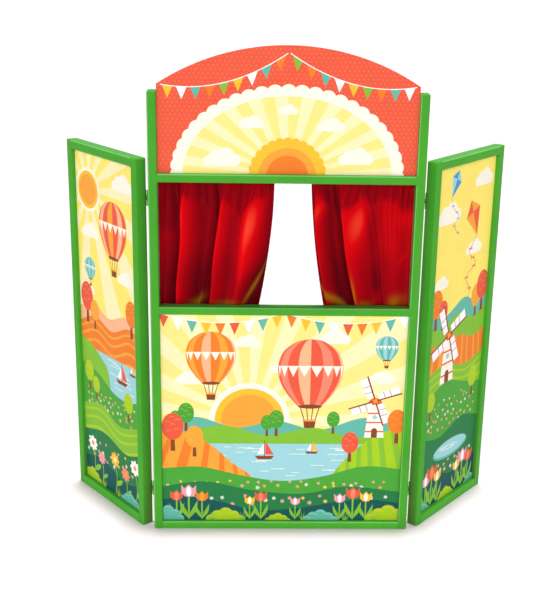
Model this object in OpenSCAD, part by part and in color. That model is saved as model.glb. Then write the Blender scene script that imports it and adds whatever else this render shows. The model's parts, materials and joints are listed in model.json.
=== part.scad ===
// Folding toy theatre: a tall centre frame with a stage window, a printed front board and an
// arched header, two hinged wings that fold back behind it, and two curtains on a hidden rod.
// Millimetres. +Z is up, the audience sits on the -Y side, and the origin is the middle of the
// bottom rail's underside.

/* [Centre frame] */
// Width over both posts
frame_w = 500; // [420:1:600]
// Front width of a post
post_w = 17; // [16:0.5:26]
// Depth of every bar, front to back
bar_d = 24; // [22:0.5:26]
// Height of the bottom rail
bottom_rail_h = 15; // [13:0.5:24]
// Visible height of the front board
front_window_h = 431; // [260:1:520]
// Height of the sill rail under the stage window
sill_h = 15.5; // [13:0.5:24]
// Height of the stage window
stage_h = 235; // [180:1:320]
// Height of the lintel rail over the stage window
lintel_h = 16; // [13.5:0.5:24]
// Length of the posts above the lintel
post_rise = 147.5; // [80:0.5:200]
// Radius of the eased edges
edge_r = 3.5; // [1:0.25:4]

/* [Boards] */
// Thickness of every printed board
board_t = 4; // [3:0.25:4.5]
// How far the centre boards sit behind the front of their frame
board_recess = 8; // [6:0.25:8]
// How far the wing boards sit behind the front of their frame
wing_recess = 9; // [5:0.25:9]
// How deep a board enters its groove
tongue = 4.5; // [3:0.25:5]
// Height of the header's straight sides above the lintel
header_side_h = 158.5; // [100:0.5:220]
// Rise of the header's arch above its straight sides
header_rise = 69; // [30:1:120]

/* [Wings] */
// Height of a wing
wing_h = 737; // [500:1:850]
// Front width of a wing's stile
stile_w = 17; // [17:0.5:26]
// Height of a wing's top and bottom rails
wing_rail_h = 18; // [16:0.5:26]
// Gap left between the two wings when both are folded flat behind the frame
wing_meet_gap = 4; // [4:0.5:40]
// How far the left wing stands folded back from the plane of the frame, in degrees
left_wing_angle = 52; // [0:0.5:120]
// How far the right wing stands folded back, in degrees
right_wing_angle = 49.5; // [0:0.5:120]

/* [Hinges] */
// Height of a hinge
hinge_h = 30; // [24:1:50]
// From the end of a wing to the middle of its hinge
hinge_inset = 75; // [50:1:140]
// Gap between post and wing when they are in line
hinge_gap = 1.5; // [1.5:0.25:7]
// Width of a hinge leaf, from the pin's axis
leaf_w = 15; // [13.5:0.5:17]
// Thickness of a hinge leaf
leaf_t = 1.5; // [1.2:0.1:2]
// Outer radius of a hinge knuckle
knuckle_r = 3.4; // [2.8:0.1:3.6]
// Radius of a hinge pin
pin_r = 1.5; // [1:0.05:1.8]
// Radius of a screw's shank
screw_r = 1.25; // [1:0.05:1.5]
// Length of a screw
screw_l = 12; // [8:0.5:13]

/* [Dowels] */
// Radius of a frame dowel
dowel_r = 2.5; // [2:0.25:2.5]
// Length of a frame dowel
dowel_l = 24; // [16:1:28]

/* [Curtains] */
// Radius of the curtain rod
rod_r = 2; // [1.5:0.1:2.2]
// How far the rod enters each post
rod_seat = 8; // [5:0.5:12]
// Opening between the curtains at the rod
curtain_gap = 67; // [20:1:160]
// Opening between the curtains at the hem
hem_gap = 123; // [40:1:240]
// How far that opening lies to the right of the middle
curtain_shift = 11; // [-20:1:20]
// Depth of the curtain folds at the hem
fold_depth = 9; // [4:0.5:16]
// Main folds in the left curtain
left_folds = 3; // [2:1:5]
// Main folds in the right curtain
right_folds = 3; // [2:1:5]
// Thickness of the gathered cloth
cloth_t = 1.2; // [0.8:0.1:1.3]

/* [Hidden] */
$fn = 48;

PAINT = "#4cb037";
DOWEL_WOOD = "#d8b98a";
STEEL = "#b9bcc0";
CLOTH = "#b4101a";
CORAL = "#f0603f";
SKY = "#fbe98a";

LEFT = -1;
RIGHT = 1;

// Clearances: a glued fit, a board in its groove, a running fit, parts that pass each other
glue_play = 0.05;
groove_play = 0.1;
run_play = 0.05;
pass_play = 0.3;
// Overcut that keeps cut faces apart
over = 1;
// How far an easing cut stands off a true tangent, so that its edges stay clean
easing_lead = 0.02;

// Heights in the centre frame, from the floor up
sill_z = bottom_rail_h + front_window_h;
stage_z = sill_z + sill_h;
lintel_z = stage_z + stage_h;
header_z = lintel_z + lintel_h;
post_h = header_z + post_rise;
apex_z = header_z + header_side_h + header_rise;

half_w = frame_w / 2;
stage_w = frame_w - 2 * post_w;
stage_half = stage_w / 2;
front_y = -bar_d / 2;
back_y = bar_d / 2;

// Boards and their grooves
board_y = front_y + board_recess;
groove_w = board_t + 2 * groove_play;
groove_depth = tongue + 0.5;
header_half = stage_half + tongue;
shoulder_half = stage_half - groove_play;
arch_r = (shoulder_half * shoulder_half + header_rise * header_rise) / (2 * header_rise);

// Wings, worked out in line with the frame and then turned about the hinge axis
wing_w = (frame_w - wing_meet_gap) / 2;
axis_x = half_w + hinge_gap / 2;
hinge_off = knuckle_r + pass_play;
axis_y = back_y + hinge_off;
wing_board_y = -bar_d + wing_recess;
hinge_heights = [hinge_inset, wing_h - hinge_inset];
knuckle_h = hinge_h / 3;
knuckle_gap = 0.4;
leaf_start = knuckle_r + 0.4;
screw_x = (leaf_w + hinge_gap / 2) / 2;
screw_spread = hinge_h * 0.27;
screw_head_r = 2 * screw_r;
screw_head_h = 0.85 * leaf_t;

// Dowels: pairs across the depth of a bar, one in front in the lintel
dowel_in_bar = dowel_l * 0.42;
dowel_spread = 5.5;
dowel_end_play = 0.5;
// Share of a rail's height between its dowels and the face away from its groove
dowel_share = 0.32;

// The curtain rod lies in a rebate along the lintel's lower back edge
casing_play = 0.3;
rebate_wall = 2.4;
casing_r = rod_r + casing_play + cloth_t / 2;
rebate_front = board_y + board_t + groove_play + rebate_wall;
rod_y = rebate_front + casing_r + cloth_t / 2 + pass_play;
rebate_h = lintel_h - groove_depth - 1;
rod_z = lintel_z + rebate_h - casing_r - cloth_t / 2 - pass_play;
hem_z = stage_z + 2;
curtain_side_play = 1.5;

// Cuts that ease an edge. The edge starts at "at" and runs along one axis for "len"; the signs
// point from the edge into the solid.
module easing(len, sx, sy) {
    mirror([sx < 0 ? 1 : 0, 0, 0])
        mirror([0, sy < 0 ? 1 : 0, 0])
            linear_extrude(len)
                difference() {
                    translate([-over, -over]) square(edge_r + over);
                    translate([edge_r, edge_r]) circle(edge_r + easing_lead);
                }
}

module ease_x(at, len, sy, sz) {
    translate(at) rotate([90, 0, 90]) easing(len, sy, sz);
}

module ease_y(at, len, sz, sx) {
    translate(at) rotate([-90, -90, 0]) easing(len, sz, sx);
}

module ease_z(at, len, sx, sy) {
    translate(at) easing(len, sx, sy);
}

// A round hole or peg along X, from x0 to x1
module round_x(x0, x1, y, z, r) {
    translate([x0, y, z]) rotate([0, 90, 0]) cylinder(h = x1 - x0, r = r);
}

// Both sides of the theatre are built on the right and mirrored to the left
module on_side(side) {
    mirror([side < 0 ? 1 : 0, 0, 0]) children();
}

function wing_angle(side) = side < 0 ? left_wing_angle : right_wing_angle;

// Carries a wing from its own frame (inner edge at x 0, back face at y 0) to its place
module place_wing(side) {
    on_side(side)
        translate([axis_x, axis_y, 0])
            rotate([0, 0, wing_angle(side)])
                translate([hinge_gap / 2, -hinge_off, 0])
                    children();
}

// Carries a hinge from its axis to its place on the frame; the wing's half turns with the wing
module place_hinges(side, turned) {
    on_side(side)
        translate([axis_x, axis_y, 0])
            rotate([0, 0, turned ? wing_angle(side) : 0])
                for (z = hinge_heights) translate([0, 0, z]) children();
}

// Places for dowels at the end of a rail: [y, z above the rail's lower edge]
function dowel_places(rail_h, low) =
    [for (y = [-dowel_spread, dowel_spread]) [y, rail_h * (low ? dowel_share : 1 - dowel_share)]];

bottom_dowels = dowel_places(bottom_rail_h, true);
sill_dowels = [for (p = dowel_places(sill_h, false)) [p[0], sill_z + p[1]]];
lintel_dowels = [[-dowel_spread, lintel_z + lintel_h * dowel_share]];
frame_dowel_places = concat(bottom_dowels, sill_dowels, lintel_dowels);

wing_mid_y = -bar_d / 2;
wing_top_z = wing_h - wing_rail_h;
wing_top_dowels = [for (p = dowel_places(wing_rail_h, false)) [wing_mid_y + p[0], wing_top_z + p[1]]];
wing_bottom_dowels = [for (p = dowel_places(wing_rail_h, true)) [wing_mid_y + p[0], p[1]]];
wing_dowel_places = concat(wing_top_dowels, wing_bottom_dowels);

// Dowel holes, or the dowels themselves, across the joint at x
module dowel_holes(x, places) {
    for (p = places)
        round_x(x - (dowel_l - dowel_in_bar) - dowel_end_play, x + dowel_in_bar + dowel_end_play,
                p[0], p[1], dowel_r + glue_play);
}

module dowel_pegs(x, places) {
    for (p = places) round_x(x - (dowel_l - dowel_in_bar), x + dowel_in_bar, p[0], p[1], dowel_r);
}

// Centre frame
module post() {
    inner_x = half_w - post_w;
    color(PAINT)
        difference() {
            translate([inner_x, front_y, 0]) cube([post_w, bar_d, post_h]);
            ease_z([half_w, front_y, -over], post_h + 2 * over, -1, 1);
            ease_z([half_w, back_y, -over], post_h + 2 * over, -1, -1);
            ease_x([inner_x - over, front_y, post_h], post_w + 2 * over, 1, -1);
            ease_x([inner_x - over, back_y, post_h], post_w + 2 * over, -1, -1);
            ease_y([half_w, front_y - over, post_h], bar_d + 2 * over, -1, -1);
            ease_y([inner_x, front_y - over, post_h], bar_d + 2 * over, -1, 1);
            for (span = [[bottom_rail_h, front_window_h], [stage_z, stage_h], [header_z, post_rise + over]]) {
                ease_z([inner_x, front_y, span[0]], span[1], 1, 1);
                ease_z([inner_x, back_y, span[0]], span[1], 1, -1);
            }
            post_groove(bottom_rail_h - groove_depth, front_window_h + 2 * groove_depth);
            post_groove(header_z - groove_depth, post_rise + groove_depth + over);
            dowel_holes(inner_x, frame_dowel_places);
            round_x(inner_x - over, inner_x + rod_seat + glue_play, rod_y, rod_z, rod_r + glue_play);
            translate([axis_x, axis_y, 0])
                for (z = hinge_heights) translate([0, 0, z]) screw_pilots(LEFT);
        }
}

module post_groove(z, len) {
    translate([half_w - post_w - over, board_y - groove_play, z]) cube([groove_depth + over, groove_w, len]);
}

// A groove along a rail, cut from its face at z into the rail
module rail_groove(z, sz) {
    translate([-stage_half - over, board_y - groove_play, z - (sz > 0 ? over : groove_depth)])
        cube([stage_w + 2 * over, groove_w, groove_depth + over]);
}

module rail_blank(z, h) {
    translate([-stage_half, front_y, z]) cube([stage_w, bar_d, h]);
}

module rail_easing(z, sz, sides) {
    for (sy = sides) ease_x([-stage_half - over, sy * front_y, z], stage_w + 2 * over, sy, sz);
}

module rail_dowel_holes(places) {
    for (side = [LEFT, RIGHT]) on_side(side) dowel_holes(stage_half, places);
}

module bottom_rail() {
    color(PAINT)
        difference() {
            rail_blank(0, bottom_rail_h);
            rail_easing(bottom_rail_h, -1, [1, -1]);
            rail_groove(bottom_rail_h, -1);
            rail_dowel_holes(bottom_dowels);
        }
}

module sill_rail() {
    color(PAINT)
        difference() {
            rail_blank(sill_z, sill_h);
            rail_easing(sill_z, 1, [1, -1]);
            rail_easing(stage_z, -1, [1, -1]);
            rail_groove(sill_z, 1);
            rail_dowel_holes(sill_dowels);
        }
}

module lintel_rail() {
    color(PAINT)
        difference() {
            rail_blank(lintel_z, lintel_h);
            rail_easing(lintel_z, 1, [1]);
            rail_easing(header_z, -1, [1, -1]);
            rail_groove(header_z, -1);
            translate([-stage_half - over, rebate_front, lintel_z - over])
                cube([stage_w + 2 * over, bar_d, rebate_h + over]);
            rail_dowel_holes(lintel_dowels);
        }
}

module front_board() {
    color(SKY)
        translate([-stage_half - tongue, board_y, bottom_rail_h - tongue])
            cube([stage_w + 2 * tongue, board_t, front_window_h + 2 * tongue]);
}

// The header slides down between the posts. Its tongues end with the posts, under its shoulders.
module header_board() {
    color(CORAL)
        translate([0, board_y + board_t, 0])
            rotate([90, 0, 0])
                linear_extrude(board_t)
                    union() {
                        translate([-header_half, header_z - tongue])
                            square([2 * header_half, post_rise + tongue - edge_r]);
                        intersection() {
                            translate([-shoulder_half, header_z])
                                square([2 * shoulder_half, apex_z - header_z]);
                            translate([0, apex_z - arch_r]) circle(arch_r, $fn = 128);
                        }
                    }
}

module frame_dowels() {
    color(DOWEL_WOOD)
        for (side = [LEFT, RIGHT]) on_side(side) dowel_pegs(stage_half, frame_dowel_places);
}

module curtain_rod() {
    color(STEEL)
        round_x(-stage_half - rod_seat, stage_half + rod_seat, rod_y, rod_z, rod_r);
}

// Curtains: one folded sheet. It starts in front of the rod, turns over it as a casing and hangs plumb
// behind it, and its folds open out towards the hem.
casing_steps = 6;
drop_steps = 7;
last_col = 40;
casing_from = -50;
casing_to = 180;
last_row = casing_steps + drop_steps;

function ease_in(t) = t * t * (3 - 2 * t);
// Inner edge: hangs nearly plumb at first, then draws away towards the hem
function edge_draw(t) = 0.3 * t + 0.7 * t * t;
function row_angle(j) = casing_from + (casing_to - casing_from) * j / casing_steps;
function row_drop(j) = max(0, (j - casing_steps) / drop_steps);
function sheet_x(out, top, hem, u, t) = out + (top + (hem - top) * edge_draw(t) - out) * u;
function sheet_swing(folds, u, t) =
    (fold_depth - cloth_t) / 2 * ease_in(min(1, 1.6 * t)) * cos(360 * folds * u);
function sheet_mid(out, top, hem, folds, u, j) =
    let (t = row_drop(j), a = row_angle(min(j, casing_steps)))
    [
        sheet_x(out, top, hem, u, t),
        rod_y - casing_r * cos(a) + sheet_swing(folds, u, t),
        rod_z + casing_r * sin(a) * (1 - t) + (hem_z - rod_z) * t
    ];
function sheet_normal(j) = let (a = row_angle(min(j, casing_steps))) [0, -cos(a), sin(a)];
function sheet_points(out, top, hem, folds) =
    [for (skin = [-1, 1], j = [0 : last_row], i = [0 : last_col])
        sheet_mid(out, top, hem, folds, i / last_col, j) + skin * cloth_t / 2 * sheet_normal(j)];

// Faces of the sheet, as [skin, row, column] corners: the two skins, then the casing's and the hem's
// edges, then the two side edges
function quad(a, b, c, d) = [[a, b, c], [a, c, d]];
function sheet_corners() = [
    for (j = [0 : last_row - 1], i = [0 : last_col - 1])
        each concat(quad([0, j, i], [0, j, i + 1], [0, j + 1, i + 1], [0, j + 1, i]),
                    quad([1, j, i], [1, j + 1, i], [1, j + 1, i + 1], [1, j, i + 1])),
    for (i = [0 : last_col - 1])
        each concat(quad([0, 0, i], [1, 0, i], [1, 0, i + 1], [0, 0, i + 1]),
                    quad([0, last_row, i], [0, last_row, i + 1], [1, last_row, i + 1], [1, last_row, i])),
    for (j = [0 : last_row - 1])
        each concat(quad([0, j, 0], [0, j + 1, 0], [1, j + 1, 0], [1, j, 0]),
                    quad([0, j, last_col], [1, j, last_col], [1, j + 1, last_col], [0, j + 1, last_col]))
];
function sheet_index(c) = (c[0] * (last_row + 1) + c[1]) * (last_col + 1) + c[2];
function sheet_faces() = [for (face = sheet_corners()) [for (corner = face) sheet_index(corner)]];

// The right curtain is built on the left and mirrored, so its edges are given from the middle outwards
module curtain(side, folds) {
    top_edge = -(curtain_gap / 2 + side * curtain_shift);
    hem_edge = -(hem_gap / 2 + side * curtain_shift);
    color(CLOTH)
        mirror([side > 0 ? 1 : 0, 0, 0])
            polyhedron(sheet_points(-stage_half + curtain_side_play, top_edge, hem_edge, folds),
                       sheet_faces(), convexity = 10);
}

// Wings, in their own frame: x from the inner edge outwards, y from the back face forwards
module stile_blank(x) {
    translate([x, -bar_d, 0]) cube([stile_w, bar_d, wing_h]);
}

module wing_inner_stile() {
    color(PAINT)
        difference() {
            stile_blank(0);
            stile_easing(0, 1);
            stile_window_easing(stile_w, -1);
            wing_stile_groove(stile_w - groove_depth);
            mirror([1, 0, 0]) dowel_holes(-stile_w, wing_dowel_places);
            translate([-hinge_gap / 2, hinge_off, 0])
                for (z = hinge_heights) translate([0, 0, z]) screw_pilots(RIGHT);
        }
}

module wing_outer_stile() {
    color(PAINT)
        difference() {
            stile_blank(wing_w - stile_w);
            stile_easing(wing_w, -1);
            stile_window_easing(wing_w - stile_w, 1);
            wing_stile_groove(wing_w - stile_w - over);
            dowel_holes(wing_w - stile_w, wing_dowel_places);
        }
}

// Eases the outside of a stile whose outer edge is at x
module stile_easing(x, sx) {
    for (y = [-bar_d, 0]) {
        sy = y < 0 ? 1 : -1;
        ease_z([x, y, -over], wing_h + 2 * over, sx, sy);
        ease_x([x - stile_w - over, y, wing_h], 2 * (stile_w + over), sy, -1);
    }
    ease_y([x, -bar_d - over, wing_h], bar_d + 2 * over, -1, sx);
}

module stile_window_easing(x, sx) {
    for (y = [-bar_d, 0])
        ease_z([x, y, wing_rail_h], wing_h - 2 * wing_rail_h, sx, y < 0 ? 1 : -1);
}

module wing_stile_groove(x) {
    translate([x, wing_board_y - groove_play, wing_rail_h - groove_depth])
        cube([groove_depth + over, groove_w, wing_h - 2 * wing_rail_h + 2 * groove_depth]);
}

module wing_rail(z, window_z, window_sz, top) {
    len = wing_w - 2 * stile_w;
    groove_low = window_z - (window_sz > 0 ? over : groove_depth);
    color(PAINT)
        difference() {
            translate([stile_w, -bar_d, z]) cube([len, bar_d, wing_rail_h]);
            for (y = [-bar_d, 0]) {
                sy = y < 0 ? 1 : -1;
                ease_x([stile_w - over, y, window_z], len + 2 * over, sy, window_sz);
                if (top) ease_x([stile_w - over, y, wing_h], len + 2 * over, sy, -1);
            }
            translate([stile_w - over, wing_board_y - groove_play, groove_low])
                cube([len + 2 * over, groove_w, groove_depth + over]);
            mirror([1, 0, 0]) dowel_holes(-stile_w, wing_dowel_places);
            dowel_holes(wing_w - stile_w, wing_dowel_places);
        }
}

module wing_top_rail() {
    wing_rail(wing_top_z, wing_top_z, 1, true);
}

module wing_bottom_rail() {
    wing_rail(0, wing_rail_h, -1, false);
}

module wing_board() {
    color(SKY)
        translate([stile_w - tongue, wing_board_y, wing_rail_h - tongue])
            cube([wing_w - 2 * stile_w + 2 * tongue, board_t, wing_h - 2 * wing_rail_h + 2 * tongue]);
}

module wing_dowels() {
    color(DOWEL_WOOD) {
        mirror([1, 0, 0]) dowel_pegs(-stile_w, wing_dowel_places);
        dowel_pegs(wing_w - stile_w, wing_dowel_places);
    }
}

// Hinges, about their own axis with the leaves in line. The side gives the way that a leaf points.
module leaf(side, knuckles) {
    color(PAINT)
        on_side(side)
            difference() {
                union() {
                    translate([leaf_start, -hinge_off, -hinge_h / 2])
                        cube([leaf_w - leaf_start, leaf_t, hinge_h]);
                    for (k = knuckles)
                        translate([0, 0, -hinge_h / 2 + k * knuckle_h + knuckle_gap / 2]) {
                            cylinder(h = knuckle_h - knuckle_gap, r = knuckle_r);
                            translate([0, -hinge_off, 0])
                                cube([leaf_start + over, leaf_t, knuckle_h - knuckle_gap]);
                        }
                }
                translate([0, 0, -hinge_h]) cylinder(h = 2 * hinge_h, r = pin_r + run_play);
                screw_places(RIGHT) screw_shape(glue_play);
            }
}

// A countersunk screw, with its head's face at z 0 and its point at -z; grown by play for its hole
module screw_shape(play) {
    translate([0, 0, -screw_head_h])
        cylinder(h = screw_head_h, r1 = screw_r + play, r2 = screw_head_r + play);
    translate([0, 0, -screw_l - play]) cylinder(h = screw_l + play, r = screw_r + play);
    if (play > 0) cylinder(h = over, r = screw_head_r + play);
}

module screw() {
    slot_l = 1.2 * screw_head_r;
    slot_w = 0.24 * screw_head_r;
    slot_h = 0.5 * screw_head_h;
    color(STEEL)
        difference() {
            screw_shape(0);
            for (turn = [0, 90])
                rotate([0, 0, turn])
                    translate([-slot_l / 2, -slot_w / 2, -slot_h]) cube([slot_l, slot_w, 2 * slot_h]);
        }
}

module screw_places(side) {
    on_side(side)
        for (z = [-screw_spread, screw_spread])
            translate([screw_x, -hinge_off + leaf_t, z]) rotate([-90, 0, 0]) children();
}

module screw_pilots(side) {
    screw_places(side) translate([0, 0, -screw_l - glue_play]) cylinder(h = screw_l, r = screw_r + glue_play);
}

module hinge_post_leaves(side) {
    place_hinges(side, false) leaf(LEFT, [0, 2]);
}

module hinge_wing_leaves(side) {
    place_hinges(side, true) leaf(RIGHT, [1]);
}

module hinge_pins(side) {
    color(STEEL)
        place_hinges(side, false) translate([0, 0, -hinge_h / 2]) cylinder(h = hinge_h, r = pin_r);
}

module hinge_post_screws(side) {
    place_hinges(side, false) screw_places(LEFT) screw();
}

module hinge_wing_screws(side) {
    place_hinges(side, true) screw_places(RIGHT) screw();
}

on_side(LEFT) post();  // left_post
on_side(RIGHT) post();  // right_post
lintel_rail();
sill_rail();
bottom_rail();
front_board();
header_board();
frame_dowels();
curtain_rod();
curtain(LEFT, left_folds);  // left_curtain
curtain(RIGHT, right_folds);  // right_curtain
place_wing(LEFT) wing_inner_stile();  // left_wing_inner_stile
place_wing(LEFT) wing_outer_stile();  // left_wing_outer_stile
place_wing(LEFT) wing_top_rail();  // left_wing_top_rail
place_wing(LEFT) wing_bottom_rail();  // left_wing_bottom_rail
place_wing(LEFT) wing_board();  // left_wing_board
place_wing(LEFT) wing_dowels();  // left_wing_dowels
place_wing(RIGHT) wing_inner_stile();  // right_wing_inner_stile
place_wing(RIGHT) wing_outer_stile();  // right_wing_outer_stile
place_wing(RIGHT) wing_top_rail();  // right_wing_top_rail
place_wing(RIGHT) wing_bottom_rail();  // right_wing_bottom_rail
place_wing(RIGHT) wing_board();  // right_wing_board
place_wing(RIGHT) wing_dowels();  // right_wing_dowels
hinge_post_leaves(LEFT);  // left_hinge_post_leaves
hinge_wing_leaves(LEFT);  // left_hinge_wing_leaves
hinge_pins(LEFT);  // left_hinge_pins
hinge_post_screws(LEFT);  // left_hinge_post_screws
hinge_wing_screws(LEFT);  // left_hinge_wing_screws
hinge_post_leaves(RIGHT);  // right_hinge_post_leaves
hinge_wing_leaves(RIGHT);  // right_hinge_wing_leaves
hinge_pins(RIGHT);  // right_hinge_pins
hinge_post_screws(RIGHT);  // right_hinge_post_screws
hinge_wing_screws(RIGHT);  // right_hinge_wing_screws
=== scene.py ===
"""Looks for the folding toy theatre: painted frame, printed boards, satin curtains and a plain studio."""
import json
import math
import random

import bpy
import numpy as np
from mathutils import Matrix, Vector
from mathutils.geometry import delaunay_2d_cdt


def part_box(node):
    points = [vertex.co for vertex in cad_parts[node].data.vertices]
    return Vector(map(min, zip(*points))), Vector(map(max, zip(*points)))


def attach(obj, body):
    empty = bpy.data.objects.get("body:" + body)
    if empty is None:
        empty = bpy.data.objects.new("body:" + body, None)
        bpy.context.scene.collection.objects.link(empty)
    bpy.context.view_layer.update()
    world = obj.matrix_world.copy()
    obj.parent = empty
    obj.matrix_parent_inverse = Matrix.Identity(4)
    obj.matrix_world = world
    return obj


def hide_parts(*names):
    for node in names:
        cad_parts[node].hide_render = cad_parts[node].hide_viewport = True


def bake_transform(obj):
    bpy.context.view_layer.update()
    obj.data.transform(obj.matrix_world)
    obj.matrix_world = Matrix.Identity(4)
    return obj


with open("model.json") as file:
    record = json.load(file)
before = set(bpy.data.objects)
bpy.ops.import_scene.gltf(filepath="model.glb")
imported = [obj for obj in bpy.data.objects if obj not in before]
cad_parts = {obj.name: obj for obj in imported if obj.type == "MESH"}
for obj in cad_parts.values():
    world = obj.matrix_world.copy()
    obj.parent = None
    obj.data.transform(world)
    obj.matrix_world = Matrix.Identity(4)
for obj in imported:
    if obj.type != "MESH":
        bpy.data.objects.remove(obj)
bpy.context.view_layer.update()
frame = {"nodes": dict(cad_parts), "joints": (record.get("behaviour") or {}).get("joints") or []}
NODES = frame["nodes"]
JOINTS = {joint["name"]: joint for joint in frame["joints"]}
MM = 0.001


def cad_box(node):
    """The lowest and highest corners of a CAD node, in millimetres to the micron."""
    return [[round(value / MM, 3) for value in corner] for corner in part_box(node)]


# Sizes of the centre frame in millimetres
(POST_INNER, _, _), _ = cad_box("right_post")
_, (_, _, BOTTOM_RAIL_TOP) = cad_box("bottom_rail")
(_, _, SILL_BOTTOM), (_, SILL_BACK, SILL_TOP) = cad_box("sill_rail")
_, (_, _, LINTEL_TOP) = cad_box("lintel_rail")
(_, BOARD_FRONT, _), _ = cad_box("front_board")
# Sizes that no node's box gives: the eased edges of the bars, and the header's arch
EDGE_R = 3.5
HEADER_SIDE, HEADER_RISE = 158.5, 69.0
# How far the header's picture keeps off the posts
HEADER_PLAY = 0.1

# Sizes of a wing in millimetres
_, (_, _, WING_H) = cad_box("left_wing_top_rail")
_, (_, _, WING_RAIL) = cad_box("left_wing_bottom_rail")
WING_W, WING_STILE = 248.0, 17.0
# The front of a wing's board from the wing's back, and the wing's inner back edge from the hinge axis
WING_BOARD_FRONT, WING_FROM_AXIS = -15.0, (0.75, -3.7)
# A wing's fold ends where it lies flat behind the frame, this many degrees from in line with it
FOLDED_FLAT = 180.0


# Studio

IMAGE_W, IMAGE_H, SENSOR = 559, 602, 36.0
FOCAL_PX = 1134.86
CAMERA_AT = Vector((-0.0670, -2.0129, 1.1309))
CAMERA_PITCH, CAMERA_YAW, CAMERA_ROLL = map(math.radians, (18.129, 1.629, -0.998))
FLOOR_COLOUR, FLOOR_REACH = (0.92, 0.83, 0.865, 1.0), 40.0
# A bright band round the horizon fades out, between two heights, into a dimmer sky
HORIZON_LIGHT, SKY_LIGHT, HORIZON_FADE = 1.0, 0.26, (0.14, 0.3)
# Suns: strength, then height, turn from the front and spread in degrees. The top light stands just behind
# the upright, so that it draws a soft contact shadow in front of the object.
KEY_LIGHT = (1.07, 26.0, -8.0, 20.0)
TOP_LIGHT = (2.75, 88.0, 163.0, 4.8)


def make_camera():
    data = bpy.data.cameras.new("camera")
    data.sensor_width = SENSOR
    data.lens = FOCAL_PX / max(IMAGE_W, IMAGE_H) * SENSOR
    camera = bpy.data.objects.new("camera", data)
    yaw = Matrix.Rotation(-CAMERA_YAW, 4, "Z")
    pitch = Matrix.Rotation(math.pi / 2 - CAMERA_PITCH, 4, "X")
    roll = Matrix.Rotation(-CAMERA_ROLL, 4, "Z")
    camera.matrix_world = Matrix.Translation(CAMERA_AT) @ yaw @ pitch @ roll
    bpy.context.scene.collection.objects.link(camera)
    bpy.context.scene.camera = camera


def make_studio():
    scene = bpy.context.scene
    scene.view_settings.view_transform = "Standard"
    scene.world = bpy.data.worlds.new("studio")
    tree = Tree(scene.world, "Background")
    direction = tree.add("TexCoord").outputs["Generated"]
    rise = tree.add("SeparateXYZ", {"Vector": direction}).outputs["Z"]
    light = tree.span(rise, HORIZON_LIGHT, SKY_LIGHT, *HORIZON_FADE)
    tree.finish({"Color": WHITE, "Strength": light})

    for name, (energy, *angles) in (("key", KEY_LIGHT), ("top", TOP_LIGHT)):
        height, turn, spread = map(math.radians, angles)
        sun = bpy.data.lights.new(name, "SUN")
        sun.energy = energy
        sun.angle = spread
        lamp = bpy.data.objects.new(name, sun)
        lamp.rotation_euler = (math.pi / 2 - height, 0, turn)
        scene.collection.objects.link(lamp)

    corners = [(x * FLOOR_REACH, y * FLOOR_REACH, 0) for x, y in ((-1, -1), (1, -1), (1, 1), (-1, 1))]
    floor = add_mesh("floor", corners, [(0, 1, 2, 3)], floor_white())


def add_mesh(name, points, faces, material):
    mesh = bpy.data.meshes.new(name)
    mesh.from_pydata(points, [], faces)
    mesh.materials.append(material)
    piece = bpy.data.objects.new(name, mesh)
    bpy.context.scene.collection.objects.link(piece)
    return piece


# Materials

def linear(hex_colour):
    """The linear colour of an sRGB hex string."""
    parts = [int(hex_colour[i:i + 2], 16) / 255 for i in (1, 3, 5)]
    return (*(c / 12.92 if c <= 0.04045 else ((c + 0.055) / 1.055) ** 2.4 for c in parts), 1.0)


def scaled(colour, factor):
    return (*(min(1.0, c * factor) for c in colour[:3]), 1.0)


BLACK, WHITE = (0.0, 0.0, 0.0, 1.0), (1.0, 1.0, 1.0, 1.0)
GREEN = linear("#4aa632")
# The bottom rails and the hinges are painted a little lighter than the rest, to offset the shade they stand
# in
BRIGHTENED_FOOT_GREEN, BRIGHTENED_HINGE_GREEN = scaled(GREEN, 1.22), scaled(GREEN, 1.25)
# The grain's frequency along each axis, where it runs along x or z
GRAIN = {"x": (0.035, 1, 1), "z": (1, 1, 0.035)}
# Where noise is all the lower and all the higher of two colours
RAMP_ENDS = (0.3, 0.7)
# Painted shade in corners, where less light reaches: how far off walls count, how open a corner is where the
# painted shade is full and where it ends, and the paint's hue, saturation and value in full painted shade and
# outside it
CORNER_SHADE_REACH, CORNER_SHADE_OPENNESS = 0.3, (0.18, 0.46)
CORNER_SHADE_TONE = {"Hue": (0.462, 0.5), "Saturation": (0.88, 1.0), "Value": (0.42, 1.0)}
# Slants of a rounded edge where its painted highlight begins, is full from and to, and ends. The bars of a
# wing don't lie along the axes, so their band is another.
EDGE_BAND, WING_EDGE_BAND = (0.3, 0.5, 0.82, 0.95), (0.86, 0.93, 0.99, 1.0)
# Where bars get a painted highlight on rounded edges that face the light: the axis, the side of it, and the
# band
TOP_EDGE_HIGHLIGHT = ("Z", 1.0, EDGE_BAND)
POST_EDGE_HIGHLIGHT = ("X", -1.0, EDGE_BAND)
STILE_EDGE_HIGHLIGHT = ("X", -1.0, WING_EDGE_BAND)
# The paint's value and saturation in the painted edge highlight
HIGHLIGHT_VALUE, HIGHLIGHT_SATURATION = 1.45, 0.8


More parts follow.
